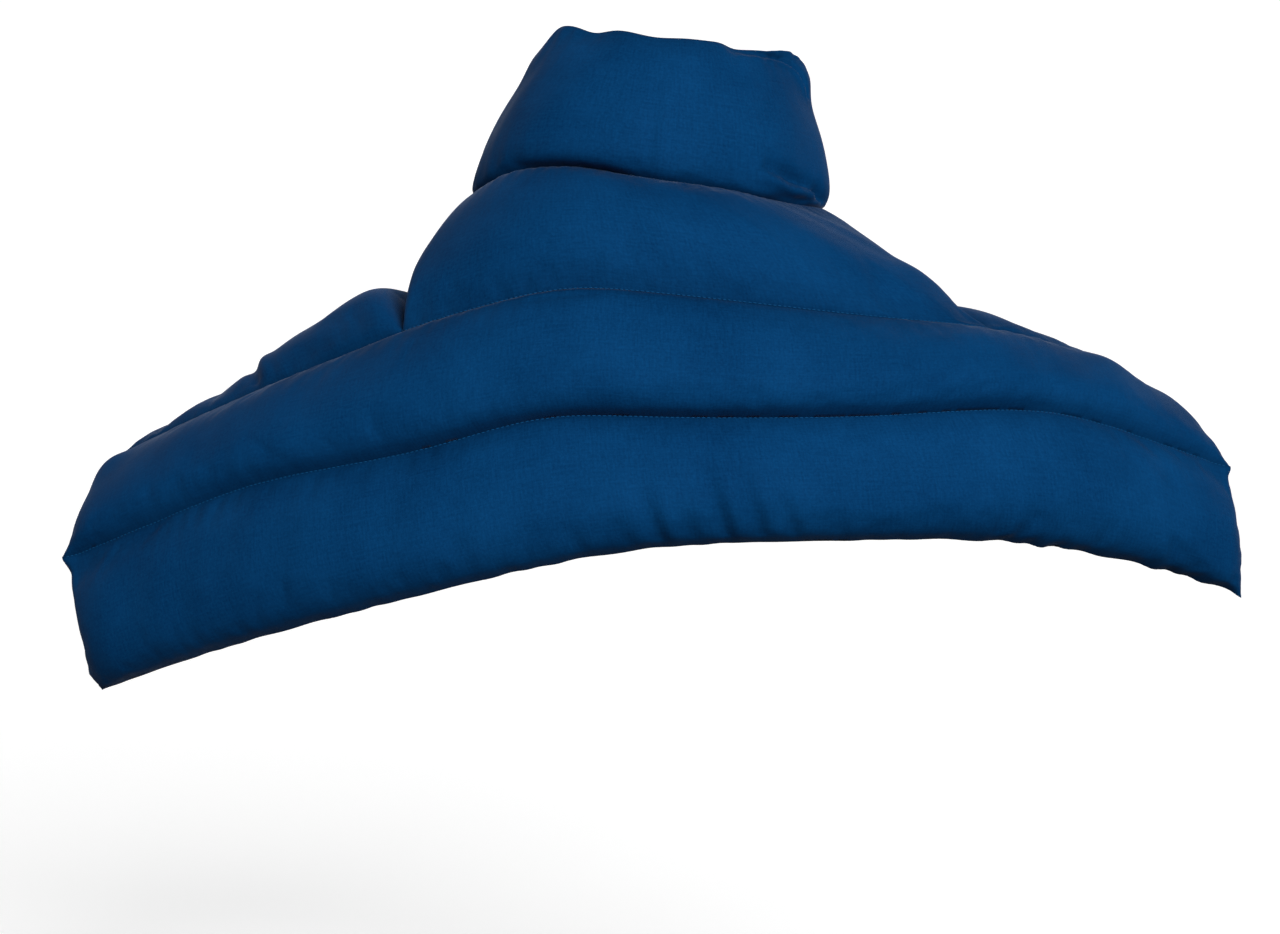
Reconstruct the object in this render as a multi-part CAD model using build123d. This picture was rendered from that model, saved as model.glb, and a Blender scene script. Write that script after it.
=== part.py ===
"""Filled neck and shoulder warmer with a stand-up collar, in its worn shape.

The frame is in millimetres with +Z up. The origin is on the neck's axis, level with the crease
where the collar meets the yoke. The wearer's back is towards -Y and the wearer's right is +X.
The pad is a row of sewn chambers: each has a cover of two cotton sheets and a loose grain fill.
"""
from build123d import *
import math
import os

# Chamber depth on each side of the plane between its two seams
BACK_ROW_OUTER = 16.0
BACK_ROW_LINING = 8.0
YOKE_OUTER = 17.0
YOKE_ARM_OUTER = 7.0    # where the yoke runs forward beside the neck
YOKE_LINING = 7.0
SHOULDER_OUTER = 15.0
SHOULDER_LINING = 7.0
FRONT_OUTER = 14.0
FRONT_LINING = 7.0
COLLAR_OUTER = 12.0
COLLAR_SIDE_OUTER = 8.0  # where the collar turns round the side of the neck
COLLAR_LINING = 7.0

# Sewing
SEAM_GAP = 1.8          # flat, stitched strip on each side of a seam line
SEAM_RUN = 12.0         # length of one straight run of a seam
SEAM_RADIUS = 0.5       # thread and the cloth that it pulls in
SEAM_END = 3.0          # a closing seam stops this far short of the seam it runs up to
COVER_WALL = 1.0        # cotton and its seam allowance
FILL_GAP = 0.8          # slack between the fill and its cover
CORNER_TUCK = 1.3       # extra inset where a chamber thins to its seam
END_SWELL = 22.0        # length over which a chamber fills out from its closed end
INNER_SWELL = 55.0      # the same, where a shoulder chamber meets the yoke
JOINT_GAP = 10.0        # flat cloth between a shoulder chamber and the yoke's seam
SIDE_GAP = 2.4          # from a chamber's closed end to the seam that closes it
END_STEP = 12.0         # from a closed end to the next section
END_OUTER = 3.0         # depth that is left at a closed end
END_LINING = 2.0

# Sections along each chamber
ROW_SECTIONS = 16
SIDE_SECTIONS = 9       # a shoulder, a front, or the yoke across the back
COLLAR_SECTIONS = 13

# Shares of the collar's crease at which the yoke's two arms end
YOKE_LEFT_END = 0.05
YOKE_RIGHT_END = 0.95

# Seam lines, each from the wearer's left to the wearer's right
HEM = [
    (-266, -28, -241), (-192, -80, -210), (-103, -124, -181), (-5, -138, -159),
    (89, -128, -156), (148, -108, -158), (228, -62, -174), (285, -28, -194),
]
LOWER_STITCH = [
    (-282, -25, -177), (-232, -58, -154), (-187, -84, -135), (-103, -119, -114),
    (-46, -131, -99), (-5, -134, -98), (70, -128, -99), (108, -118, -99),
    (187, -84, -101), (238, -52, -117), (278, -25, -133),
]
UPPER_STITCH = [
    (-264, 14, -135), (-236, -4, -119), (-191, -36, -96), (-137, -72, -72),
    (-116, -84, -63), (-75, -104, -49), (-37, -114, -41), (-5, -117, -42),
    (71, -106, -51), (110, -92, -56), (164, -62, -64), (212, -20, -82), (255, 18, -107),
]
LEFT_YOKE_CORNER = -116.0
RIGHT_YOKE_CORNER = 164.0
LEFT_FRONT_STITCH = [(-258, 62, -155), (-213, 39, -124), (-163, 15, -82), (-112, -4, -50)]
RIGHT_FRONT_STITCH = [(115, 5, -55), (150, 22, -81), (200, 43, -108), (246, 62, -140)]
LEFT_FRONT_HEM = [(-246, 88, -214), (-207, 81, -176), (-163, 67, -126), (-104, 52, -86)]
RIGHT_FRONT_HEM = [(106, 56, -92), (145, 70, -122), (192, 83, -153), (238, 88, -182)]
COLLAR_CREASE = [
    (-70, 40, -12), (-82, 8, -6), (-81, -28, 0), (-62, -57, 11), (-29, -72, 13),
    (-5, -76, 9), (28, -72, 4), (55, -57, -2), (76, -28, -7), (81, 8, -11), (71, 40, -14),
]
COLLAR_TOP = [
    (-44, 32, 56), (-50, 10, 62), (-46, -16, 70), (-34, -36, 77), (-10, -52, 77),
    (14, -55, 74), (38, -47, 71), (57, -31, 69), (67, -6, 62), (65, 24, 54),
]


def line(points):
    """Smooth seam line through its points."""
    return Spline(*[Vector(*point) for point in points])


def share_at_x(curve, x):
    """Share of a left-to-right seam line at which it crosses x."""
    low, high = 0.0, 1.0
    for _ in range(40):
        middle = (low + high) / 2
        if (curve @ middle).X < x:
            low = middle
        else:
            high = middle
    return (low + high) / 2


def stitched(curve):
    """Points along a whole seam line, one for each stitched run."""
    return even(curve, round(curve.length / SEAM_RUN) + 1)


def even(curve, count, start=0.0, end=1.0):
    """Evenly spaced points along part of a seam line."""
    return [curve @ (start + (end - start) * i / (count - 1)) for i in range(count)]


def closed(curve, count, start=0.0, end=1.0):
    """Points along part of a seam line, with a short first and last step for the closed ends."""
    step = END_STEP / curve.length
    inner = even(curve, count - 2, start + step, end - step)
    return [curve @ start] + inner + [curve @ end]


def straight(start, end, count=4):
    """Evenly spaced points from one place to another."""
    return [start + (end - start) * (i / (count - 1)) for i in range(count)]


def swell(distance, length):
    """How full a chamber is at a distance from its closed end, from 0 to 1."""
    short = max(0.0, 1 - distance / length)
    return math.sqrt(1 - short * short)


class Chamber:
    """One sewn tube between a lower and an upper seam line, closed at both ends."""

    def __init__(self, lower, upper, outer, lining, left_swell=END_SWELL, right_swell=END_SWELL):
        self.lower = lower
        self.upper = upper
        self.last = len(lower) - 1
        self.middles = [(a + b) / 2 for a, b in zip(lower, upper)]
        steps = [(b - a).length for a, b in zip(self.middles, self.middles[1:])]
        run = [sum(steps[:i]) for i in range(self.last + 1)]
        full = [min(swell(d, left_swell), swell(run[-1] - d, right_swell)) for d in run]
        outers = outer if isinstance(outer, list) else [outer] * len(lower)
        self.outer = [END_OUTER + (deep - END_OUTER) * share for deep, share in zip(outers, full)]
        self.lining = [END_LINING + (lining - END_LINING) * share for share in full]

    def section(self, i, inset, end_inset):
        """Outline across the tube: a full outer arc and a flatter lining arc."""
        before, after = max(i - 1, 0), min(i + 1, self.last)
        along = (self.middles[after] - self.middles[before]).normalized()
        chord = (self.upper[i] - self.lower[i]).normalized()
        across = along.cross(chord).normalized()
        shift = along * (end_inset * ((i == 0) - (i == self.last)))
        tuck = chord * (SEAM_GAP + inset * (1 + CORNER_TUCK))
        low = self.lower[i] + tuck + shift
        high = self.upper[i] - tuck + shift
        middle = (low + high) / 2
        outer_arc = ThreePointArc(low, middle + across * (self.outer[i] - inset), high)
        lining_arc = ThreePointArc(high, middle - across * (self.lining[i] - inset), low)
        return Wire([outer_arc, lining_arc])

    def solid(self, inset=0.0):
        """The tube, drawn in by inset from its cloth and by twice as much from its ends."""
        sections = [self.section(i, inset, 2 * inset) for i in range(self.last + 1)]
        return Solid.make_loft(sections)

    def cover(self):
        """Two cotton sheets sewn together along every edge."""
        return self.solid() - self.solid(COVER_WALL)

    def fill(self):
        """The loose grain inside the cover."""
        return self.solid(COVER_WALL + FILL_GAP)


def seam(points):
    """Stitched seam: a thin round bead in straight runs between its points."""
    last = len(points) - 1
    rings = []
    for i, point in enumerate(points):
        along = points[min(i + 1, last)] - points[max(i - 1, 0)]
        rings.append(Wire.make_circle(SEAM_RADIUS, Plane(origin=point, z_dir=along)))
    return Solid.make_loft(rings, ruled=True)


def closing_seam(ends, outward):
    """Seam that closes a run of chambers, just outside their ends and short of other seams."""
    moved = [end + outward * SIDE_GAP for end in ends]
    points = [moved[0]]
    for start, end in zip(moved, moved[1:]):
        points += straight(start, end)[1:]
    points[0] += (points[1] - points[0]).normalized() * SEAM_END
    points[-1] += (points[-2] - points[-1]).normalized() * SEAM_END
    return seam(points)


hem = line(HEM)
lower_stitch = line(LOWER_STITCH)
upper_stitch = line(UPPER_STITCH)
crease = line(COLLAR_CREASE)
collar_top = line(COLLAR_TOP)
left_stitch = line(LEFT_FRONT_STITCH)
right_stitch = line(RIGHT_FRONT_STITCH)
left_hem = line(LEFT_FRONT_HEM)
right_hem = line(RIGHT_FRONT_HEM)

LEFT = Vector(-1, 0, 0)
RIGHT = Vector(1, 0, 0)
FORWARD = Vector(0, 1, 0)


def joint_inset(curve):
    """Share of a seam line that the flat cloth beside the yoke takes up."""
    return JOINT_GAP / curve.length


# The yoke's lower edge: along the left shoulder's end, the upper stitch line, then the right's end
left_corner = share_at_x(upper_stitch, LEFT_YOKE_CORNER)
right_corner = share_at_x(upper_stitch, RIGHT_YOKE_CORNER)
left_joint = straight(left_stitch @ 1, upper_stitch @ left_corner)
right_joint = straight(upper_stitch @ right_corner, right_stitch @ 0)
yoke_back = even(upper_stitch, SIDE_SECTIONS, left_corner, right_corner)
yoke_lower = left_joint[:-1] + yoke_back + right_joint[1:]
yoke_upper = even(crease, len(yoke_lower), YOKE_LEFT_END, YOKE_RIGHT_END)
yoke_arm = [YOKE_ARM_OUTER] * len(left_joint)
yoke_outer = yoke_arm + [YOKE_OUTER] * (len(yoke_back) - 2) + yoke_arm


def collar_depth(i):
    """Outer depth of the collar at a section: fullest at the nape."""
    share = math.sin(math.pi * i / (COLLAR_SECTIONS - 1))
    return COLLAR_SIDE_OUTER + (COLLAR_OUTER - COLLAR_SIDE_OUTER) * share



chambers = {
    "lower_row": Chamber(
        closed(hem, ROW_SECTIONS), closed(lower_stitch, ROW_SECTIONS),
        BACK_ROW_OUTER, BACK_ROW_LINING),
    "upper_row": Chamber(
        closed(lower_stitch, ROW_SECTIONS), closed(upper_stitch, ROW_SECTIONS),
        BACK_ROW_OUTER, BACK_ROW_LINING),
    "yoke": Chamber(yoke_lower, yoke_upper, yoke_outer, YOKE_LINING),
    "collar": Chamber(
        closed(crease, COLLAR_SECTIONS), closed(collar_top, COLLAR_SECTIONS),
        [collar_depth(i) for i in range(COLLAR_SECTIONS)], COLLAR_LINING),
    "left_shoulder": Chamber(
        closed(upper_stitch, SIDE_SECTIONS, 0, left_corner - joint_inset(upper_stitch)),
        closed(left_stitch, SIDE_SECTIONS, 0, 1 - joint_inset(left_stitch)),
        SHOULDER_OUTER, SHOULDER_LINING, right_swell=INNER_SWELL),
    "right_shoulder": Chamber(
        closed(upper_stitch, SIDE_SECTIONS, right_corner + joint_inset(upper_stitch), 1),
        closed(right_stitch, SIDE_SECTIONS, joint_inset(right_stitch), 1),
        SHOULDER_OUTER, SHOULDER_LINING, left_swell=INNER_SWELL),
    "left_front": Chamber(
        closed(left_stitch, SIDE_SECTIONS), closed(left_hem, SIDE_SECTIONS),
        FRONT_OUTER, FRONT_LINING),
    "right_front": Chamber(
        closed(right_stitch, SIDE_SECTIONS), closed(right_hem, SIDE_SECTIONS),
        FRONT_OUTER, FRONT_LINING),
}

seams = {
    "hem_seam": seam(stitched(hem)),
    "lower_stitch_seam": seam(stitched(lower_stitch)),
    "upper_stitch_seam": seam(stitched(upper_stitch)),
    "left_yoke_seam": seam(straight(left_stitch @ 1, upper_stitch @ left_corner, 12)[1:-1]),
    "right_yoke_seam": seam(straight(upper_stitch @ right_corner, right_stitch @ 0, 12)[1:-1]),
    "left_front_stitch_seam": seam(stitched(left_stitch)),
    "right_front_stitch_seam": seam(stitched(right_stitch)),
    "left_side_seam": closing_seam(
        [hem @ 0, lower_stitch @ 0, upper_stitch @ 0, left_stitch @ 0], LEFT),
    "right_side_seam": closing_seam(
        [hem @ 1, lower_stitch @ 1, upper_stitch @ 1, right_stitch @ 1], RIGHT),
    "left_yoke_end_seam": closing_seam([left_stitch @ 1, crease @ YOKE_LEFT_END], FORWARD),
    "right_yoke_end_seam": closing_seam([right_stitch @ 0, crease @ YOKE_RIGHT_END], FORWARD),
    "collar_crease_seam": seam(stitched(crease)),
    "collar_top_seam": seam(stitched(collar_top)),
    "collar_left_end_seam": closing_seam([crease @ 0, collar_top @ 0], FORWARD),
    "collar_right_end_seam": closing_seam([crease @ 1, collar_top @ 1], FORWARD),
    "left_front_hem_seam": seam(stitched(left_hem)),
    "right_front_hem_seam": seam(stitched(right_hem)),
    "left_front_outer_seam": closing_seam(straight(left_stitch @ 0, left_hem @ 0)[1:], LEFT),
    "left_front_neck_seam": closing_seam(straight(left_stitch @ 1, left_hem @ 1)[1:], RIGHT),
    "right_front_neck_seam": closing_seam(straight(right_stitch @ 0, right_hem @ 0)[1:], LEFT),
    "right_front_outer_seam": closing_seam(straight(right_stitch @ 1, right_hem @ 1)[1:], RIGHT),
}

os.makedirs("parts", exist_ok=True)
for name, chamber in chambers.items():
    export_step(chamber.cover(), f"parts/{name}_cover.step")
    export_step(chamber.fill(), f"parts/{name}_fill.step")
for name, bead in seams.items():
    export_step(bead, f"parts/{name}.step")
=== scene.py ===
"""Looks for the filled neck and shoulder warmer: sewn cotton chambers round a stand-up collar.

Each chamber of the CAD frame is replaced by one padded cloth piece whose seams lie on the frame's
own seam beads. Distances are in metres, and +X is the wearer's right.
"""

import math

import bpy
import numpy as np
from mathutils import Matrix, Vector

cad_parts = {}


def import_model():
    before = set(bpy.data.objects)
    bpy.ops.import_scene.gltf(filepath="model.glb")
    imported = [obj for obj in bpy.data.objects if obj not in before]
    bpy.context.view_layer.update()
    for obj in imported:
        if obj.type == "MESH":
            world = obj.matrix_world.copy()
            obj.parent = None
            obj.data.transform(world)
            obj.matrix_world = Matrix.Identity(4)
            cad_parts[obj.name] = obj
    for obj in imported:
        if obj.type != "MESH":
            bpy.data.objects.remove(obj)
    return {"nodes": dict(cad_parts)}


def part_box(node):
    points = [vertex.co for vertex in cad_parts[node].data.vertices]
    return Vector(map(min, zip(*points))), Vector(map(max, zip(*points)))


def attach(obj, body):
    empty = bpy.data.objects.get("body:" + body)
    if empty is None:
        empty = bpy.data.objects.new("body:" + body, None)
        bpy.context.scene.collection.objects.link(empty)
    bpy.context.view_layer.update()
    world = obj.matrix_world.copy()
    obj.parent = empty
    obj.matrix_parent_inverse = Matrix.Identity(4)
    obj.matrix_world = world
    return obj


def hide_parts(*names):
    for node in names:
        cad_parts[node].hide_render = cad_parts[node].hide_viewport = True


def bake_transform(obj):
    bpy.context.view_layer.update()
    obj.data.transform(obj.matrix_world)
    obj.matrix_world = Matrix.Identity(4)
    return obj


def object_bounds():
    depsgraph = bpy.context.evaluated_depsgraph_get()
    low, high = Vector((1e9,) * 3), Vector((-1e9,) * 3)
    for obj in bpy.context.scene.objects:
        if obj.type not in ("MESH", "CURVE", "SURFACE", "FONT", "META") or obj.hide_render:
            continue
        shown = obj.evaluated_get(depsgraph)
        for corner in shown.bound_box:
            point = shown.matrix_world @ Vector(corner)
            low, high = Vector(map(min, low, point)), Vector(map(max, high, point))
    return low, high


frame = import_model()
CAD_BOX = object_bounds()
NODES = frame["nodes"]

GRID = 0.003            # cloth mesh spacing along a chamber
RING_GAP = 0.002        # CAD seam beads have rings further apart than this
NECK_RADIUS = 0.08      # turns an angle round the neck into a distance along the collar
YOKE_SPAN = (0.05, 0.95)    # the yoke's share of the collar's crease, as in the frame
EDGE_PACKING, EVEN_PACKING = 0.55, 0.45     # how much closer the mesh's lines lie at the seams
SIM_FRAMES = 20
OVERLAP = 0.0004        # how far each chamber's cloth passes its seam line, inside the seam
STITCH_PITCH = 0.0024
STITCH_LENGTH = 0.0017
STITCH_RADIUS = 0.00028
PANEL = "back_panel"    # the body that carries every chamber but the collar and the front flaps


# ---------------------------------------------------------------- seam lines from the frame

def along_x(points):
    return points[:, 0]


def round_neck(points):
    return np.arctan2(points[:, 0], -points[:, 1]) * NECK_RADIUS


def centre_line(node, order=along_x):
    """Centre line of a CAD seam bead: the middles of its rings, from left to right."""
    cloud = np.array([v.co for v in NODES[node].data.vertices])
    key = order(cloud)
    rank = np.argsort(key)
    breaks = np.flatnonzero(np.diff(key[rank]) > RING_GAP) + 1
    return np.array([ring.mean(axis=0) for ring in np.split(cloud[rank], breaks)])


def lengths(line):
    """Distance along a line at each of its points."""
    steps = np.linalg.norm(np.diff(line, axis=0), axis=1)
    return np.concatenate([[0.0], np.cumsum(steps)])


def smooth_at(line, shares):
    """Points at shares of a line's length, on a smooth curve through its points."""
    run = lengths(line)
    run = run / run[-1]
    slope = np.gradient(line, run, axis=0)
    at = np.clip(np.searchsorted(run, shares, side="right") - 1, 0, len(run) - 2)
    width = (run[at + 1] - run[at])[:, None]
    t = (np.asarray(shares)[:, None] - run[at][:, None]) / width
    a, b = line[at], line[at + 1]
    ta, tb = slope[at] * width, slope[at + 1] * width
    t2, t3 = t * t, t * t * t
    return ((2 * t3 - 3 * t2 + 1) * a + (t3 - 2 * t2 + t) * ta
            + (3 * t2 - 2 * t3) * b + (t3 - t2) * tb)


def evenly(count):
    return np.linspace(0.0, 1.0, count)


def share_at_x(line, x):
    """Share of a left-to-right line's length at which it crosses x."""
    run = lengths(line)
    return float(np.interp(x, line[:, 0], run / run[-1]))


HEM = centre_line("hem_seam")
LOWER = centre_line("lower_stitch_seam")
UPPER = centre_line("upper_stitch_seam")
LEFT_STITCH = centre_line("left_front_stitch_seam")
RIGHT_STITCH = centre_line("right_front_stitch_seam")
LEFT_HEM = centre_line("left_front_hem_seam")
RIGHT_HEM = centre_line("right_front_hem_seam")
CREASE = centre_line("collar_crease_seam", round_neck)
TOP = centre_line("collar_top_seam", round_neck)

# Where the shoulder chambers' inner ends meet the upper stitch line
CORNER_GAP = 0.0002
LEFT_CORNER = share_at_x(UPPER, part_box("left_yoke_seam")[0][0] - CORNER_GAP)
RIGHT_CORNER = share_at_x(UPPER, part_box("right_yoke_seam")[1][0])


# ---------------------------------------------------------------- chambers

def swell(distance, length):
    """How full a chamber is at a distance from its closed end, from 0 to 1."""
    short = np.clip(1 - distance / length, 0, 1)
    return np.sqrt(1 - short * short)


def unit(vectors):
    return vectors / np.linalg.norm(vectors, axis=-1, keepdims=True)


def profile(count, *stops):
    """Values along a chamber, from (share, value) stops, eased between them."""
    shares, values = zip(*stops)
    fine = np.interp(evenly(4 * count), shares, values)
    width = count // 4 * 2 + 1
    padded = np.pad(fine, width // 2, mode="edge")
    smooth = np.convolve(padded, np.ones(width) / width, mode="valid")
    return np.interp(evenly(count), evenly(len(smooth)), smooth)


class Sheet:
    """The cloth of one chamber: an outer and a lining grid that share their seams.

    outer and lining are how far each side stands off the plane of the seams where it is fullest.
    full and skew shape the outer side between the low and the high seam, sag lets it hang down,
    and ends are the lengths over which the chamber closes at its two ends.
    """

    def __init__(self, name, low, high, outer, lining, columns, full=(0.62, 0.8), skew=0.78,
                 sag=0.0, ends=(0.03, 0.03)):
        self.name = name
        self.rows = len(low)
        self.columns = columns
        allowance = unit(high - low) * OVERLAP
        low, high = low - allowance, high + allowance
        middle = (low + high) / 2
        run = lengths(middle)
        along = unit(np.gradient(middle, axis=0))
        chord = high - low
        across = unit(np.cross(along, unit(chord)))
        room = np.minimum(swell(run, ends[0]), swell(run[-1] - run, ends[1]))
        share = (1 - np.cos(np.pi * evenly(columns + 1))) / 2
        share = EDGE_PACKING * share + EVEN_PACKING * evenly(columns + 1)
        crown = np.sin(np.pi * share ** skew) ** (full[0] + (full[1] - full[0]) * share)
        hollow = np.sin(np.pi * share) ** 0.8
        base = low[:, None, :] + chord[:, None, :] * share[None, :, None]
        up = across[:, None, :] * (room * outer)[:, None, None] * crown[None, :, None]
        down = across[:, None, :] * (room * lining)[:, None, None] * hollow[None, :, None]
        drop = np.array([0, 0, -1.0]) * (room * sag)[:, None, None] * crown[None, :, None] ** 2
        self.outer = base + up + drop
        self.lining = base - down
        self.across = across
        self.run = run
        self.share = share
        self.depth = np.linalg.norm(chord, axis=1)

    def index(self):
        """Vertex numbers of the outer grid and the lining grid."""
        rows, columns = self.rows, self.columns
        outer = np.arange(rows * (columns + 1)).reshape(rows, columns + 1)
        lining = outer.copy()
        inside = np.arange((rows - 2) * (columns - 1)).reshape(rows - 2, columns - 1)
        lining[1:-1, 1:-1] = inside + rows * (columns + 1)
        return outer, lining

    def build(self):
        outer, lining = self.index()
        points = np.concatenate([
            self.outer.reshape(-1, 3), self.lining[1:-1, 1:-1].reshape(-1, 3)])
        faces, places = [], []
        across = lengths(self.outer[self.rows // 2])
        for grid, sign in ((outer, 1), (lining, -1)):
            for i in range(self.rows - 1):
                for j in range(self.columns):
                    cell = [(i, j), (i + 1, j), (i + 1, j + 1), (i, j + 1)][::sign]
                    faces.append([int(grid[c]) for c in cell])
                    places += cell
        mesh = bpy.data.meshes.new(self.name)
        mesh.from_pydata(points.tolist(), [], faces)
        cloth_map = mesh.uv_layers.new(name="cloth")
        place_map = mesh.uv_layers.new(name="place")
        cloth = [(self.run[i], across[j]) for i, j in places]
        place = [(self.run[i] / self.run[-1], self.share[j]) for i, j in places]
        cloth_map.data.foreach_set("uv", np.array(cloth, np.float32).ravel())
        place_map.data.foreach_set("uv", np.array(place, np.float32).ravel())
        mesh.shade_smooth()
        edge = np.zeros(len(points), bool)
        edge[outer[:, 0]] = edge[outer[:, -1]] = edge[outer[0]] = edge[outer[-1]] = True
        ends = np.array([e.vertices for e in mesh.edges])
        sharp = edge[ends].all(axis=1)
        crease = mesh.attributes.new("crease_edge", "FLOAT", "EDGE")
        crease.data.foreach_set("value", sharp.astype(np.float32))
        piece = bpy.data.objects.new(self.name, mesh)
        bpy.context.collection.objects.link(piece)
        piece.vertex_groups.new(name="seams").add(np.flatnonzero(edge).tolist(), 1.0, "REPLACE")
        return piece

    def push(self, piece, outer_push, lining_push):
        """Moves the cloth off the plane of its seams, by a grid of distances for each side."""
        points = coordinates(piece)
        for grid, amount, sign in zip(self.index(), (outer_push, lining_push), (1, -1)):
            shift = sign * self.across[:, None, :] * amount[:, :, None]
            points[grid[1:-1, 1:-1]] += shift[1:-1, 1:-1]
        place_points(piece, points)


def coordinates(piece):
    flat = np.empty(len(piece.data.vertices) * 3)
    piece.data.vertices.foreach_get("co", flat)
    return flat.reshape(-1, 3)


def place_points(piece, points):
    piece.data.vertices.foreach_set("co", points.ravel())
    piece.data.update()


def stations(line, start=0.0, end=1.0, count=None):
    """Evenly spaced points along part of a seam line."""
    if count is None:
        count = max(8, round((end - start) * lengths(line)[-1] / GRID) + 1)
    return smooth_at(line, start + (end - start) * evenly(count))


def joined(*runs):
    """Several runs of points as one, without repeating the points where they meet."""
    return np.concatenate([runs[0]] + [run[1:] for run in runs[1:]])


def straight(start, end, count):
    return start + (end - start) * evenly(count)[:, None]


def row(low_line, high_line, low_range=(0, 1), high_range=(0, 1)):
    low = stations(low_line, *low_range)
    return low, stations(high_line, *high_range, len(low))


def yoke_seams():
    """The yoke's lower edge, round both shoulder chambers' ends, and the crease above it."""
    arm, back = 28, 96      # mesh lines over each arm of the yoke, and over its back
    left_inner, right_inner = LEFT_STITCH[-1], RIGHT_STITCH[0]
    left_back = smooth_at(UPPER, [LEFT_CORNER])[0]
    right_back = smooth_at(UPPER, [RIGHT_CORNER])[0]
    low = joined(
        straight(left_inner, left_back, arm),
        stations(UPPER, LEFT_CORNER, RIGHT_CORNER, back),
        straight(right_back, right_inner, arm))
    # As in the frame: over the crease, each arm takes three steps of fourteen and the back eight
    start, end = YOKE_SPAN
    arm_share = (end - start) * 3 / 14
    high = joined(
        stations(CREASE, start, start + arm_share, arm),
        stations(CREASE, start + arm_share, end - arm_share, back),
        stations(CREASE, end - arm_share, end, arm))
    return low, high


def lower_row():
    low, high = row(HEM, LOWER)
    return Sheet("lower_row_pad", low, high, outer=0.0165, lining=0.008, columns=26,
                 full=(0.50, 0.75), skew=0.76, sag=0.003)


def upper_row():
    low, high = row(LOWER, UPPER)
    outer = profile(len(low), (0, 0.016), (0.5, 0.017), (0.72, 0.0165), (0.85, 0.0150),
                    (1, 0.0135))
    return Sheet("upper_row_pad", low, high, outer, lining=0.008, columns=26,
                 full=(0.48, 0.75), skew=0.75, sag=0.0055)


def yoke():
    low, high = yoke_seams()
    outer = profile(len(low), (0, 0.008), (0.1, 0.008), (0.2, 0.011), (0.32, 0.0175),
                    (0.55, 0.0175), (0.68, 0.013), (0.76, 0.006), (0.84, 0.005), (1, 0.008))
    return Sheet("yoke_pad", low, high, outer, lining=0.007, columns=28,
                 full=(0.80, 0.66), skew=0.96, sag=0.002)


def left_shoulder():
    low, high = row(UPPER, LEFT_STITCH, (0, LEFT_CORNER))
    outer = profile(len(low), (0, 0.0085), (0.25, 0.0095), (0.42, 0.0085), (0.5, 0.0110),
                    (0.72, 0.0150), (1, 0.0190))
    return Sheet("left_shoulder_pad", low, high, outer, lining=0.007, columns=26,
                 ends=(0.03, 0.018))


def right_shoulder():
    low, high = row(UPPER, RIGHT_STITCH, (RIGHT_CORNER, 1))
    outer = profile(len(low), (0, 0.013), (0.25, 0.007), (0.55, 0.0095), (0.8, 0.006), (1, 0.006))
    return Sheet("right_shoulder_pad", low, high, outer, lining=0.007, columns=26)


def front(name, stitch, hem):
    low, high = row(stitch, hem)
    return Sheet(name, low, high, outer=0.014, lining=0.007, columns=24)


def collar():
    low = stations(CREASE)
    high = stations(TOP, count=len(low))
    outer = profile(len(low), (0, 0.006), (0.2, 0.007), (0.4, 0.013), (0.6, 0.013), (0.8, 0.006),
                    (1, 0.005))
    return Sheet("collar_pad", low, high, outer, lining=0.007, columns=30,
                 full=(0.5, 0.9), skew=0.68)


SHEETS = {sheet.name: sheet for sheet in (
    lower_row(), upper_row(), yoke(), left_shoulder(), right_shoulder(),
    front("left_front_pad", LEFT_STITCH, LEFT_HEM),
    front("right_front_pad", RIGHT_STITCH, RIGHT_HEM), collar())}
PADS = {name: sheet.build() for name, sheet in SHEETS.items()}


# ---------------------------------------------------------------- cloth

SHARP_ANGLE = math.radians(70)      # a seam that closes more sharply than this isn't smoothed


def settle(pieces, cap=0.0022, pressure=4.0, extra=0.007):
    """Blows the chambers up as cloth that is held along its seams.

    No point moves further than cap, and extra is the share by which the cloth is cut too large.
    """
    for piece in pieces:
        cloth = piece.modifiers.new("Cloth", "CLOTH")
        cloth.settings.quality = 6
        cloth.settings.mass = 0.25
        cloth.settings.tension_stiffness = 20
        cloth.settings.compression_stiffness = 20
        cloth.settings.shear_stiffness = 8
        cloth.settings.bending_stiffness = 0.15
        cloth.settings.use_pressure = True
        cloth.settings.uniform_pressure_force = pressure
        cloth.settings.shrink_min = -extra
        cloth.settings.vertex_group_mass = "seams"
        cloth.settings.effector_weights.gravity = 0
        cloth.point_cache.frame_end = SIM_FRAMES
    scene = bpy.context.scene
    for number in range(1, SIM_FRAMES + 1):
        scene.frame_set(number)
    graph = bpy.context.evaluated_depsgraph_get()
    for piece in pieces:
        rest = coordinates(piece)
        shift = coordinates(piece.evaluated_get(graph)) - rest
        size = np.linalg.norm(shift, axis=1, keepdims=True)
        shift *= cap * np.tanh(size / cap) / np.maximum(size, 1e-9)
        piece.modifiers.remove(piece.modifiers["Cloth"])
        place_points(piece, rest + shift)
    scene.frame_set(1)


def subdivide(piece):
    """Rounds a pad's mesh off once, and shades it smooth but for the edges of its seams."""
    piece.modifiers.new("Fine", "SUBSURF").levels = 1
    graph = bpy.context.evaluated_depsgraph_get()
    fine = bpy.data.meshes.new_from_object(piece.evaluated_get(graph))
    piece.modifiers.clear()
    piece.data = fine
    piece.data.shade_smooth()
    piece.data.set_sharp_from_angle(angle=SHARP_ANGLE)


LUMP_WAVES = (0.029, 0.041, 0.053, 0.067, 0.085)    # wavelengths of the grain's unevenness


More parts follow.
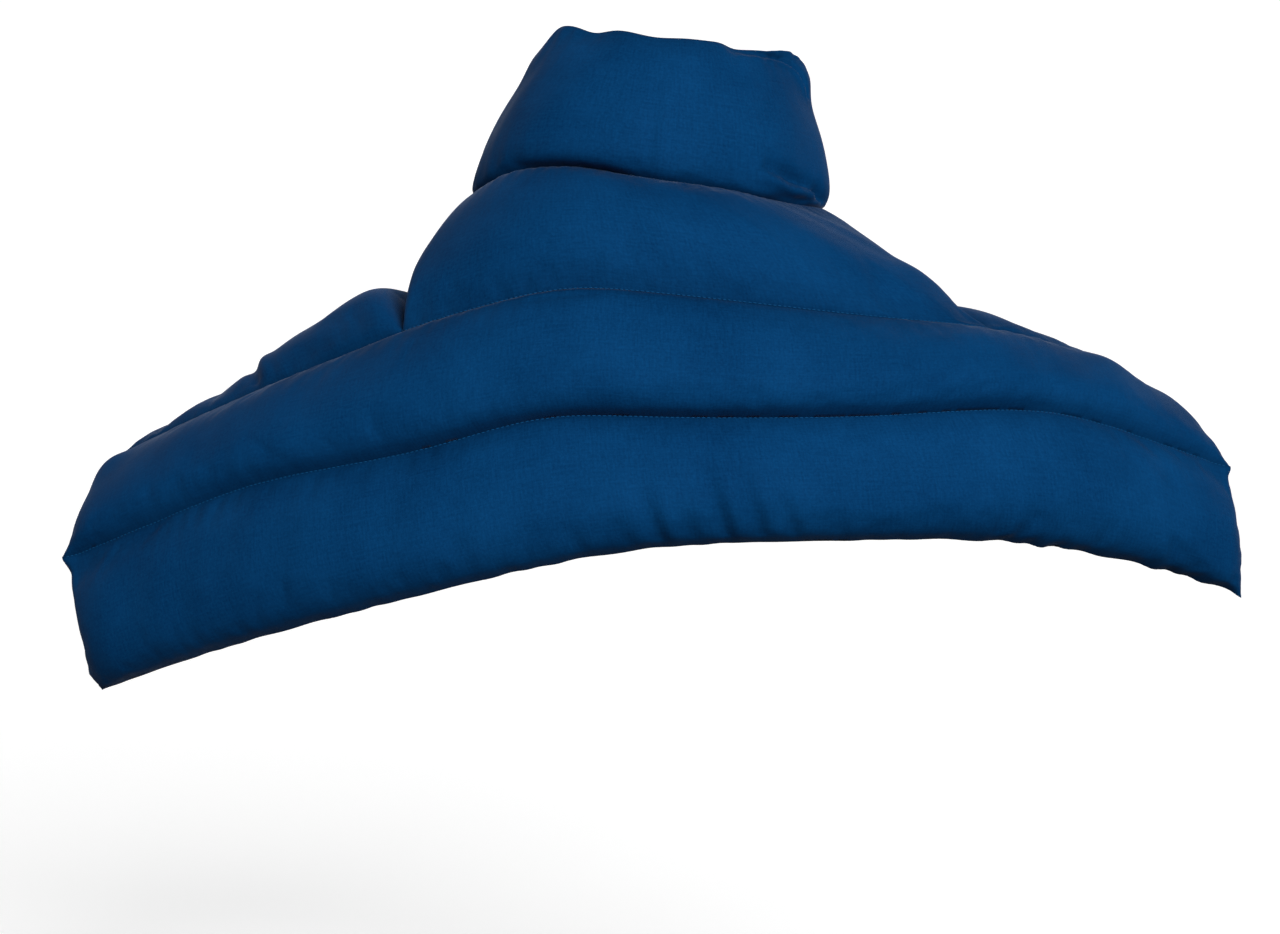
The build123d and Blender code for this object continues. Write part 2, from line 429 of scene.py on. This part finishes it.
def lumps(sheet, seed, height=0.00022):
    """Low, broad unevenness of the grain under the cloth."""
    rng = np.random.default_rng(seed)
    u = sheet.run[:, None]
    v = sheet.share[None, :] * sheet.depth[:, None]
    total = np.zeros(v.shape)
    for wave in LUMP_WAVES:
        angle, start = rng.uniform(0, math.pi), rng.uniform(0, math.tau)
        total += np.sin(math.tau * (u * math.cos(angle) + v * math.sin(angle)) / wave + start)
    rim = np.sin(np.pi * sheet.share) ** 0.5
    return height * total * rim[None, :]


LOW_PITCH, HIGH_PITCH = 0.0105, 0.0092      # spacing of the gathers along the two seams
PUCKER_RISE, PUCKER_REACH = 0.0015, 0.009   # how far from the seam they grow, and die out
DRIFT_WAVES = (0.07, 0.11, 0.19)    # wavelengths over which their spacing drifts
STRENGTH_WAVE = 0.13    # wavelength over which they grow stronger and weaker


def puckers(sheet, seed, height=0.0003):
    """Small gathers that run out from the low and the high seam."""
    rng = np.random.default_rng(seed)
    u = sheet.run
    drift = sum(np.sin(math.tau * u / wave + rng.uniform(0, math.tau))
                for wave in DRIFT_WAVES)
    strength = 0.6 + 0.4 * np.sin(math.tau * u / STRENGTH_WAVE + rng.uniform(0, math.tau))
    total = np.zeros((sheet.rows, sheet.columns + 1))
    for distance, pitch in ((sheet.share, LOW_PITCH), (1 - sheet.share, HIGH_PITCH)):
        away = distance[None, :] * sheet.depth[:, None]
        fade = np.exp(-away / PUCKER_REACH) * (1 - np.exp(-away / PUCKER_RISE))
        gathers = np.sin(math.tau * u / pitch + 1.3 * drift)
        total += height * 2.2 * (gathers * strength)[:, None] * fade
    return total


FOLD_RISE = 0.004       # a fold grows to its full depth this far from the seam


def fold(sheet, at, side, reach, lean, width, depth):
    """One soft fold from a seam: a groove with a ridge beside it, which leans as it runs out.

    at is a distance along the chamber, side is 0 for the low seam and 1 for the high one, and
    reach is how far from that seam the fold runs.
    """
    away = np.abs(side - sheet.share)[None, :] * sheet.depth[:, None]
    out = away / reach
    across = (sheet.run[:, None] - at - lean * out) / (width * (0.7 + 0.5 * out))
    fade = np.clip(1 - out, 0, 1) ** 0.7 * np.clip(away / FOLD_RISE, 0, 1)
    return depth * fade * (0.75 * np.exp(-(across - 1.5) ** 2) - np.exp(-across ** 2))


ROLL_SHARES, ROLL_SHAPE = (0.80, 0.90, 0.96, 1.0), (0, 0.75, 1, 0)      # between the seams


def roll(sheet, piece, start, peak, end, rise):
    """Rolls the lining up over the high seam, from start to end of the run."""
    along = np.interp(sheet.run, (start, peak, end), (0, 1, 0))
    along = along * along * (3 - 2 * along)
    over = np.interp(sheet.share, ROLL_SHARES, ROLL_SHAPE)
    shift = np.array((0, 0, 1.0)) + 0.55 * sheet.across[:, None, :]
    points = coordinates(piece)
    lining = sheet.index()[1]
    amount = (rise * along[:, None] * over[None, :])[:, :, None] * shift
    points[lining[1:-1, 1:-1]] += amount[1:-1, 1:-1]
    place_points(piece, points)


def run_at_x(sheet, x):
    """Distance along a chamber at which its low seam crosses x, on the wearer's back."""
    line = sheet.outer[:, 0, 0]
    back = slice(int(line.argmin()), int(line.argmax()) + 1)
    return float(np.interp(x, line[back], sheet.run[back]))


settle(list(PADS.values()))

# Folds at the hem and the stitch lines: (x, side, reach, lean, width, depth)
ROW_FOLDS = {
    "lower_row_pad": [
        (0.006, 0, 0.036, -0.006, 0.0042, 0.0032), (0.036, 0, 0.042, -0.007, 0.0040, 0.0034),
        (0.052, 0, 0.040, -0.008, 0.0040, 0.0030), (0.066, 0, 0.030, -0.006, 0.0036, 0.0022),
        (-0.030, 0, 0.024, -0.004, 0.0045, 0.0014), (0.158, 0, 0.026, 0.004, 0.0040, 0.0028),
        (0.170, 0, 0.020, 0.005, 0.0036, 0.0020), (0.206, 0, 0.020, 0.004, 0.0040, 0.0022),
        (0.232, 0, 0.034, -0.004, 0.0048, 0.0022), (0.244, 0, 0.028, -0.003, 0.0040, 0.0016),
        (-0.008, 0, 0.020, -0.004, 0.0035, 0.0016), (0.022, 0, 0.024, -0.005, 0.0035, 0.0018),
        (0.088, 0, 0.018, -0.004, 0.0040, 0.0014),
        (0.222, 1, 0.034, 0.010, 0.0060, 0.0010), (0.240, 1, 0.040, 0.012, 0.0050, 0.0009),
    ],
    "upper_row_pad": [
        (-0.068, 0, 0.018, -0.004, 0.0050, 0.0006),
        (0.030, 0, 0.020, 0.003, 0.0050, 0.0007), (0.215, 0, 0.020, -0.004, 0.0045, 0.0008),
    ],
    "left_shoulder_pad": [(-0.188, 0, 0.090, 0.0, 0.0060, 0.0032)],
    "collar_pad": [
        (-0.002, 0, 0.050, 0.001, 0.0026, 0.0014), (0.050, 0, 0.034, -0.026, 0.0080, 0.0010),
        (-0.060, 0, 0.014, 0.012, 0.0050, 0.0010),
    ],
}
# The first seeds of the random draws, to which each chamber adds its number
OUTER_LUMPS, OUTER_PUCKERS, LINING_LUMPS, LINING_PUCKERS = 10, 30, 50, 70
for number, (name, sheet) in enumerate(SHEETS.items()):
    outer_push = lumps(sheet, OUTER_LUMPS + number) + puckers(sheet, OUTER_PUCKERS + number)
    lining_push = lumps(sheet, LINING_LUMPS + number) + puckers(sheet, LINING_PUCKERS + number)
    for x, *shape in ROW_FOLDS.get(name, []):
        outer_push += fold(sheet, run_at_x(sheet, x), *shape)
    sheet.push(PADS[name], outer_push, lining_push)
roll(SHEETS["collar_pad"], PADS["collar_pad"], start=0.186, peak=0.236, end=0.258, rise=0.0050)
for piece in PADS.values():
    subdivide(piece)


# ---------------------------------------------------------------- seam detail

def nearest(points, line):
    """Distance to a line of points, and the number of the nearest one."""
    best = np.full(len(points), np.inf)
    which = np.zeros(len(points), int)
    for number, place in enumerate(line):
        gap = np.linalg.norm(points - place, axis=1)
        closer = gap < best
        best[closer] = gap[closer]
        which[closer] = number
    return best, which


def pull_out(pieces, centre, direction, length, radius):
    """Moves the cloth round a point by a length along a direction, fading with the radius."""
    for piece in pieces:
        points = coordinates(piece)
        near = np.exp(-(np.linalg.norm(points - centre, axis=1) / radius) ** 2)
        points += np.array(direction) * length * near[:, None]
        place_points(piece, points)


BOW_STOPS = (0, 0.12, 0.35, 0.8, 1)     # shares of a closed edge at which its bow is given


def scallop(piece, start, end, outward, bow, wave=0.0115, height=0.0008, radius=0.005):
    """Bows a closed edge outward, and gathers it into small scallops between its stitches."""
    steps = straight(start, end, 60)
    length = np.linalg.norm(end - start)
    points = coordinates(piece)
    gap, which = nearest(points, steps)
    t = which / (len(steps) - 1)
    arcs = height * (np.abs(np.sin(math.pi * t * length / wave)) - 0.4)
    near = np.exp(-(gap / radius) ** 2) * np.sin(math.pi * np.clip(t, 0, 1)) ** 0.4
    amount = near * (arcs + np.interp(t, BOW_STOPS, bow))
    points += np.array(outward) * amount[:, None]
    place_points(piece, points)


def ripple(piece, line, heights, radius=0.007):
    """Lets a long edge rise and dip between its gathers, by (x, height) pairs."""
    path = stations(line, count=700)
    run = lengths(path)
    short_wave, long_wave, drift_wave = 0.021, 0.034, 0.083
    rise = np.sin(math.tau * run / short_wave + 2.0 * np.sin(math.tau * run / drift_wave))
    rise = (rise + np.sin(math.tau * run / long_wave + 0.9)) / 2
    rise *= np.interp(path[:, 0], *zip(*heights))
    rise *= np.sin(math.pi * run / run[-1]) ** 0.3
    points = coordinates(piece)
    gap, which = nearest(points, path)
    points[:, 2] += rise[which] * np.exp(-(gap / radius) ** 2)
    place_points(piece, points)


def point_at_x(line, x):
    """Where a left-to-right line crosses x."""
    return np.array([np.interp(x, line[:, 0], line[:, k]) for k in range(3)])


LEFTWARD, RIGHTWARD = (-1.0, 0.0, 0.0), (1.0, 0.0, 0.0)
DOWNWARD = (0.0, 0.0, -1.0)
ROWS = [PADS["lower_row_pad"], PADS["upper_row_pad"]]
COLLAR = [PADS["collar_pad"]]
NECKLINE = [PADS["collar_pad"], PADS["yoke_pad"]]

# The closed ends of the two rows, the hem, and the small ears where their seams end
scallop(PADS["lower_row_pad"], HEM[0], LOWER[0], LEFTWARD, (0.001, 0.0060, 0.0024, 0.001, 0))
scallop(PADS["lower_row_pad"], HEM[-1], LOWER[-1], RIGHTWARD, (0, 0.0018, 0.0032, 0.001, 0))
scallop(PADS["upper_row_pad"], LOWER[0], UPPER[0], LEFTWARD, (0, 0.0, 0.001, 0.001, 0))
scallop(PADS["upper_row_pad"], LOWER[-1], UPPER[-1], RIGHTWARD, (0, 0.0, 0.001, 0.001, 0))
ripple(PADS["lower_row_pad"], HEM,
       ((-0.28, 0.0006), (-0.20, 0.0003), (-0.08, 0.0004), (0.00, 0.0004), (0.05, 0.0002),
        (0.13, 0.0002), (0.17, 0.0011), (0.28, 0.0014)))
pull_out(ROWS, LOWER[0], LEFTWARD, 0.0028, 0.0045)
pull_out(ROWS, LOWER[-1], RIGHTWARD, 0.0024, 0.0040)
pull_out(ROWS, HEM[-1], (0.5, 0.0, -1.0), 0.0020, 0.0045)

# The collar's uneven top edge, from its raised left corner to the seam that dips at its right
pull_out(COLLAR, point_at_x(TOP, -0.040), (-0.55, 0.0, 0.8), 0.0048, 0.013)
pull_out(COLLAR, point_at_x(TOP, -0.026), DOWNWARD, 0.0024, 0.009)
pull_out(COLLAR, point_at_x(TOP, 0.002), DOWNWARD, 0.0016, 0.012)
pull_out(COLLAR, np.array((0.068, -0.008, 0.056)), (1.0, 0.0, 0.1), 0.0065, 0.014)
TOP_WAY = np.gradient(TOP, axis=0)
for x in np.linspace(0.038, 0.070, 12):
    seam = point_at_x(TOP, x)
    right, forward = (np.interp(x, TOP[:, 0], TOP_WAY[:, k]) for k in (0, 1))
    inward = unit(np.array((-forward, right, 0.0)))
    down_and_in = (0.5 * inward[0], 0.5 * inward[1], -1.0)
    pull_out(COLLAR, seam - inward * 0.0015, down_and_in, 0.0013, 0.0050)
pull_out(COLLAR, np.array((-0.048, -0.020, 0.060)), (-1.0, 0.0, 0.2), 0.0035, 0.013)

# The upper row's left end stands up
pull_out([PADS["upper_row_pad"], PADS["left_shoulder_pad"]],
         SHEETS["upper_row_pad"].outer[4, 19], (-0.5, 0.0, 0.8), 0.0035, 0.012)

# The crease round the neck: drawn in on the left, standing out on the right
for x in np.linspace(-0.056, -0.012, 12):
    pull_out(NECKLINE, point_at_x(CREASE, x), (0.0, 1.0, -0.15), 0.0017, 0.0040)
for x in np.linspace(0.000, 0.050, 8):
    pull_out(NECKLINE, point_at_x(CREASE, x), (0.1, -1.0, 0.1), 0.0013, 0.0090)
for x in np.linspace(-0.058, -0.014, 10):
    above = point_at_x(CREASE, x) + np.array((0.0, -0.0050, 0.0085))
    pull_out(COLLAR, above, (0.0, -1.0, -0.8), 0.0012, 0.0060)

# The right side's outline: yoke, shoulder and collar foot
pull_out([PADS["yoke_pad"]], np.array((0.125, -0.060, -0.038)), (0.2, 0.0, 1.0), 0.0028, 0.015)
pull_out([PADS["upper_row_pad"], PADS["right_shoulder_pad"]],
         np.array((0.220, -0.036, -0.085)), (0.3, 0.0, 1.0), 0.0032, 0.015)
pull_out(NECKLINE, np.array((0.080, -0.014, 0.018)), (1.0, 0.0, 0.0), 0.0022, 0.020)
pull_out(NECKLINE, np.array((0.080, -0.020, 0.000)), (1.0, 0.0, 0.0), 0.0024, 0.015)


# Creases at the collar's right foot, and the thin line under its rolled top right edge
TUCK_REACH = 0.016      # cloth further than this from a tuck's path stays
TUCK_LAYER = 0.003      # cloth deeper than this under the path belongs to the lining
HELD_BAND = (0.0016, 0.004)     # a tuck leaves the seam alone, and grows over this distance


def tuck(piece, path, outward, depth, width):
    """A deep crease along a path on the cloth, with a ridge below it.

    It starts shallow beside the seam, and dies out at the path's end.
    """
    out = unit(np.array(outward))
    line = stations(np.array(path), count=80)
    points = coordinates(piece)
    gap, which = nearest(points, line)
    offset = points - line[which]
    inward = -(offset @ out)
    beside = np.linalg.norm(offset + inward[:, None] * out, axis=1)
    lining = np.clip((inward - TUCK_LAYER) / TUCK_LAYER, 0, 1)
    near = (1 - 0.5 * lining) * (gap < TUCK_REACH)
    below = np.clip(-offset[:, 2] / (0.5 * width), 0, 1)
    ridge = 0.4 * below * np.exp(-((beside - 1.6 * width) / width) ** 2)
    groove = np.exp(-(beside / (width * (1.6 - 0.9 * below))) ** 2)
    seam = points[SHEETS[piece.name].index()[0][:, 0]]
    held = np.clip((nearest(points, seam)[0] - HELD_BAND[0]) / HELD_BAND[1], 0, 1)
    t = which / (len(line) - 1)
    strength = np.minimum(0.35 + 2.6 * t, 1) * (1 - t) ** 0.5
    amount = held * near * depth * strength * (ridge - groove)
    place_points(piece, points + out * amount[:, None])


FOOT_WAY = (0.4, -0.9, 0.1)
tuck(PADS["collar_pad"],
     ((0.0830, -0.0210, -0.0062), (0.0740, -0.0316, 0.0002), (0.0662, -0.0508, 0.0067),
      (0.0520, -0.0670, 0.0145)),
     FOOT_WAY, depth=0.0095, width=0.0030)
tuck(PADS["collar_pad"],
     ((0.0780, -0.0300, -0.0045), (0.0698, -0.0424, -0.0035), (0.0560, -0.0589, -0.0003)),
     FOOT_WAY, depth=0.0042, width=0.0018)
tuck(PADS["collar_pad"],
     ((0.0745, -0.0140, 0.0450), (0.0725, -0.0160, 0.0520), (0.0690, -0.0185, 0.0575),
      (0.0630, -0.0250, 0.0620), (0.0520, -0.0390, 0.0655), (0.0400, -0.0480, 0.0672)),
     (0.5, -0.8, 0.2), depth=0.0042, width=0.0013)


STITCH_RINGS = (-1.0, -0.75, 0.0, 0.75, 1.0)    # along a stitch, in halves of its length
STITCH_SIDES = 6


def stitches(name, sheet, piece, side, inset=0.5, lift=0.0003):
    """Row of short thread stitches on the cloth beside one seam of a chamber."""
    outer = sheet.index()[0]
    points = coordinates(piece)
    seam, inner = (outer[:, 0], outer[:, 1]) if side == 0 else (outer[:, -1], outer[:, -2])
    path = points[seam] + inset * (points[inner] - points[seam]) + sheet.across * lift
    run = lengths(path)
    count = int((run[-1] - 2 * STITCH_PITCH) / STITCH_PITCH)
    middles = smooth_at(path, (np.arange(count) + 1.5) * STITCH_PITCH / run[-1])
    heads = unit(np.gradient(middles, axis=0))
    verts, faces = [], []
    around = STITCH_SIDES
    for middle, head in zip(middles, heads):
        first = len(verts)
        side_way = unit(np.cross(head, (0.0, 0.0, 1.0)))
        up_way = np.cross(side_way, head)
        for ring in STITCH_RINGS:
            thick = STITCH_RADIUS * math.sqrt(0.9 * (1 - ring * ring) + 0.1)
            for k in range(around):
                angle = math.tau * k / around
                spoke = math.cos(angle) * side_way + math.sin(angle) * up_way
                verts.append(middle + head * ring * STITCH_LENGTH / 2 + spoke * thick)
        for r in range(len(STITCH_RINGS) - 1):
            for k in range(around):
                a, b = first + r * around + k, first + r * around + (k + 1) % around
                faces.append((a, b, b + around, a + around))
        faces.append(tuple(first + k for k in reversed(range(around))))
        faces.append(tuple(first + (len(STITCH_RINGS) - 1) * around + k for k in range(around)))
    mesh = bpy.data.meshes.new(name)
    mesh.from_pydata([tuple(v) for v in verts], [], faces)
    mesh.shade_smooth()
    thread = bpy.data.objects.new(name, mesh)
    bpy.context.collection.objects.link(thread)
    return thread


THREADS = [
    stitches("lower_stitches", SHEETS["lower_row_pad"], PADS["lower_row_pad"], 1),
    stitches("upper_stitches", SHEETS["yoke_pad"], PADS["yoke_pad"], 0, inset=0.3),
]


# ---------------------------------------------------------------- materials

MIX_FACTOR, MIX_A, MIX_B, MIX_RESULT = 0, 6, 7, 2   # the colour sockets of a mix node


class Graph:
    """Short names for building a shader's nodes."""

    def __init__(self, name):
        self.material = bpy.data.materials.new(name)
        self.material.use_nodes = True
        self.nodes = self.material.node_tree.nodes
        self.links = self.material.node_tree.links
        self.shader = self.nodes["Principled BSDF"]

    def add(self, kind, **settings):
        node = self.nodes.new(kind)
        for key, value in settings.items():
            setattr(node, key, value)
        return node

    def put(self, target, value):
        """Sets a socket to a number or colour, or joins another node's output to it."""
        if isinstance(value, bpy.types.NodeSocket):
            self.links.new(value, target)
        else:
            target.default_value = value

    def math(self, operation, a, b=0.0, c=0.0):
        node = self.add("ShaderNodeMath", operation=operation)
        for socket, value in zip(node.inputs, (a, b, c)):
            self.put(socket, value)
        return node.outputs[0]

    def noise(self, vector, scale, detail=2.0, roughness=0.5):
        node = self.add("ShaderNodeTexNoise")
        self.put(node.inputs["Vector"], vector)
        node.inputs["Scale"].default_value = scale
        node.inputs["Detail"].default_value = detail
        node.inputs["Roughness"].default_value = roughness
        return node.outputs["Fac"]

    def stretched(self, vector, scale):
        node = self.add("ShaderNodeMapping")
        self.put(node.inputs["Vector"], vector)
        node.inputs["Scale"].default_value = scale
        return node.outputs[0]

    def ramp(self, value, low, high, out_low=0.0, out_high=1.0):
        node = self.add("ShaderNodeMapRange")
        for socket, number in zip(node.inputs, (value, low, high, out_low, out_high)):
            self.put(socket, number)
        return node.outputs[0]

    def blend(self, factor, a, b, kind="MIX"):
        node = self.add("ShaderNodeMix", data_type="RGBA", blend_type=kind)
        self.put(node.inputs[MIX_FACTOR], factor)
        self.put(node.inputs[MIX_A], a)
        self.put(node.inputs[MIX_B], b)
        return node.outputs[MIX_RESULT]

    def bump(self, height, distance, strength=1.0, normal=None):
        node = self.add("ShaderNodeBump")
        node.inputs["Strength"].default_value = strength
        node.inputs["Distance"].default_value = distance
        self.put(node.inputs["Height"], height)
        if normal is not None:
            self.put(node.inputs["Normal"], normal)
        return node.outputs[0]


TWILL_PITCH = 0.0006
# How many to the metre along a chamber and across it
SLUBS, WEFT = (1100.0, 110.0, 1.0), (60.0, 1100.0, 1.0)
GRAIN, BROAD = 750.0, 22.0
DEEP_BLUE = (0.0002, 0.028, 0.098, 1.0)
LIGHT_BLUE = (0.0022, 0.056, 0.176, 1.0)
PLIES = 2500.0          # to the metre of thread
DARK_THREAD = (0.001, 0.048, 0.145, 1.0)
LIGHT_THREAD = (0.005, 0.080, 0.220, 1.0)


def cotton():
    """Deep blue cotton twill: fine diagonal ribs, slubs along the warp, a soft grazing sheen, and
    painted shade along the seams.
    """
    g = Graph("blue_cotton")
    cloth = g.add("ShaderNodeUVMap", uv_map="cloth").outputs[0]
    place = g.add("ShaderNodeUVMap", uv_map="place").outputs[0]
    axes = g.add("ShaderNodeSeparateXYZ")
    g.put(axes.inputs[0], cloth)
    u, v = axes.outputs[0], axes.outputs[1]
    diagonal = g.math("MULTIPLY", g.math("ADD", u, v), math.tau / TWILL_PITCH)
    rib = g.math("MULTIPLY_ADD", g.math("SINE", diagonal), 0.5, 0.5)
    slub = g.noise(g.stretched(cloth, SLUBS), 1.0, detail=3.0, roughness=0.6)
    weft = g.noise(g.stretched(cloth, WEFT), 1.0, detail=2.0, roughness=0.5)
    grain = g.noise(cloth, GRAIN, detail=3.0, roughness=0.75)
    broad = g.noise(cloth, BROAD, detail=3.0, roughness=0.55)
    tone = g.math("MULTIPLY_ADD", slub, 0.22, g.math("MULTIPLY", broad, 0.30))
    tone = g.math("MULTIPLY_ADD", grain, 0.36, g.math("MULTIPLY_ADD", weft, 0.12, tone))
    colour = g.blend(g.ramp(tone, 0.37, 0.63), DEEP_BLUE, LIGHT_BLUE)
    # Painted shade: darker towards each seam, where the valleys between the chambers lie in
    # shade, and darkest in a thin line along it, partly the seam's own dark line and partly
    # painted shade in its groove
    seams = g.add("ShaderNodeSeparateXYZ")
    g.put(seams.inputs[0], place)
    to_seam = g.math("MINIMUM", seams.outputs[1], g.math("SUBTRACT", 1.0, seams.outputs[1]))
    painted_seam_shade = g.ramp(to_seam, 0.0, 0.02, 0.8, 1.0)
    painted_seam_shade = g.math("MULTIPLY", painted_seam_shade, g.ramp(to_seam, 0.0, 0.18, 0.82, 1.0))
    # The painted seam shade is multiplied into the cloth's colour
    colour = g.blend(1.0, colour, painted_seam_shade, "MULTIPLY")
    g.put(g.shader.inputs["Base Color"], colour)
    g.put(g.shader.inputs["Roughness"], g.ramp(slub, 0.3, 0.7, 0.74, 0.86))
    height = g.math("MULTIPLY_ADD", rib, 0.45, g.math("MULTIPLY", slub, 0.55))
    height = g.math("MULTIPLY_ADD", weft, 0.35, height)
    fine = g.bump(height, 0.00012, 0.7)
    g.put(g.shader.inputs["Normal"], g.bump(grain, 0.00012, 0.5, fine))
    g.shader.inputs["Specular IOR Level"].default_value = 0.03
    g.shader.inputs["Sheen Weight"].default_value = 0.13
    g.shader.inputs["Sheen Roughness"].default_value = 0.24
    g.shader.inputs["Sheen Tint"].default_value = (0.62, 0.73, 1.0, 1.0)
    return g.material


def thread_finish():
    """Blue sewing thread, a little lighter and glossier than the cloth, with twisted plies."""
    g = Graph("blue_thread")
    local = g.add("ShaderNodeTexCoord").outputs["Object"]
    ply = g.noise(local, PLIES, detail=2.0)
    g.put(g.shader.inputs["Base Color"], g.blend(ply, DARK_THREAD, LIGHT_THREAD))
    g.put(g.shader.inputs["Normal"], g.bump(ply, 0.00008, 0.6))
    g.shader.inputs["Roughness"].default_value = 0.7
    g.shader.inputs["Specular IOR Level"].default_value = 0.08
    return g.material


COTTON = cotton()
THREAD = thread_finish()
for piece in PADS.values():
    piece.data.materials.clear()
    piece.data.materials.append(COTTON)
for piece in THREADS:
    piece.data.materials.append(THREAD)
    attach(piece, PANEL)

for name in ("lower_row", "upper_row", "yoke", "left_shoulder", "right_shoulder"):
    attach(PADS[name + "_pad"], PANEL)
for name, piece in PADS.items():
    stem = name.removesuffix("_pad")
    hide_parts(stem + "_cover", stem + "_fill")
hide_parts("hem_seam", "left_side_seam", "right_side_seam")
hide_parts("lower_stitch_seam", "upper_stitch_seam")
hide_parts("left_yoke_seam", "right_yoke_seam", "left_yoke_end_seam",
            "right_yoke_end_seam")
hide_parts("left_front_stitch_seam")
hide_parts("right_front_stitch_seam")
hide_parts("collar_crease_seam", "collar_top_seam",
            "collar_left_end_seam", "collar_right_end_seam")
for side in ("left", "right"):
    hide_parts(f"{side}_front_hem_seam",
                f"{side}_front_neck_seam", f"{side}_front_outer_seam")


def blend_from_line(piece, line, toward):
    """Bakes a pad's transform into its mesh; the direction from the panel's seam line towards the
    pad's hem is worked out but not used.
    """
    start = line.mean(axis=0)
    axis = unit(line[-1] - line[0])
    reach = toward.mean(axis=0) - start
    reach = unit(reach - axis * np.dot(reach, axis))
    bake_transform(piece)


blend_from_line(PADS["left_front_pad"], LEFT_STITCH, LEFT_HEM)
blend_from_line(PADS["right_front_pad"], RIGHT_STITCH, RIGHT_HEM)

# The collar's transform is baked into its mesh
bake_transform(PADS["collar_pad"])


# ---------------------------------------------------------------- stage

FLOOR_HALF, FLOOR_DROP = 400.0, 0.25    # the floor's half width, and its depth under the pad
GLOW_HEIGHTS, GLOW = (-0.6, 0.6), (0.05, 0.18)      # the studio's light by height


def camera():
    """Looks at the back of the pad from a little above it."""
    distance, lift = 2.2, math.radians(6)
    target = Vector((-0.005, -0.110, -0.124))
    view_width = 0.5953
    data = bpy.data.cameras.new("camera")
    data.sensor_width = 36
    data.lens = 36 * distance / view_width
    seat = bpy.data.objects.new("camera", data)
    seat.location = target + Vector((0, -math.cos(lift), math.sin(lift))) * distance
    seat.rotation_euler = (math.radians(90) - lift, 0, 0)
    bpy.context.collection.objects.link(seat)
    bpy.context.scene.camera = seat


def sun(name, toward, strength, softness):
    """Soft light from far away, so that the floor is lit evenly to the horizon."""
    data = bpy.data.lights.new(name, "SUN")
    data.energy = strength
    data.angle = math.radians(softness)
    lamp = bpy.data.objects.new(name, data)
    lamp.rotation_euler = (-Vector(toward)).to_track_quat("-Z", "Y").to_euler()
    bpy.context.collection.objects.link(lamp)


def floor():
    """A pale floor out to the horizon, whose own light doesn't reach the cloth."""
    mesh = bpy.data.meshes.new("floor")
    half, height = FLOOR_HALF, CAD_BOX[0][2] - FLOOR_DROP
    mesh.from_pydata([(-half, -half, height), (half, -half, height), (half, half, height),
                      (-half, half, height)], [], [(0, 1, 2, 3)])
    plane = bpy.data.objects.new("floor", mesh)
    bpy.context.collection.objects.link(plane)
    material = bpy.data.materials.new("pale_floor")
    material.use_nodes = True
    shader = material.node_tree.nodes["Principled BSDF"]
    shader.inputs["Base Color"].default_value = (0.9, 0.9, 0.9, 1)
    shader.inputs["Roughness"].default_value = 0.9
    shader.inputs["Emission Color"].default_value = (1, 1, 1, 1)
    shader.inputs["Emission Strength"].default_value = 0.42
    mesh.materials.append(material)
    plane.visible_diffuse = False
    plane.visible_glossy = False


def world():
    """A pale studio that is brighter overhead than below the pad, where the wearer would be."""
    sky = bpy.data.worlds.new("studio")
    sky.use_nodes = True
    nodes, links = sky.node_tree.nodes, sky.node_tree.links
    way = nodes.new("ShaderNodeTexCoord").outputs["Generated"]
    axes = nodes.new("ShaderNodeSeparateXYZ")
    rise = nodes.new("ShaderNodeMapRange")
    for socket, number in zip(list(rise.inputs)[1:5], GLOW_HEIGHTS + GLOW):
        socket.default_value = number
    background = nodes["Background"]
    background.inputs["Color"].default_value = (1, 1, 1, 1)
    links.new(way, axes.inputs[0])
    links.new(axes.outputs[2], rise.inputs[0])
    links.new(rise.outputs[0], background.inputs["Strength"])
    bpy.context.scene.world = sky


camera()
sun("key", toward=(0.30, -0.87, 0.33), strength=3.3, softness=30)
sun("back", toward=(-0.75, 0.55, 0.35), strength=0.7, softness=40)
sun("front_fill", toward=(0.30, 0.94, 0.12), strength=1.3, softness=60)
floor()
world()
bpy.context.scene.view_settings.view_transform = "Standard"
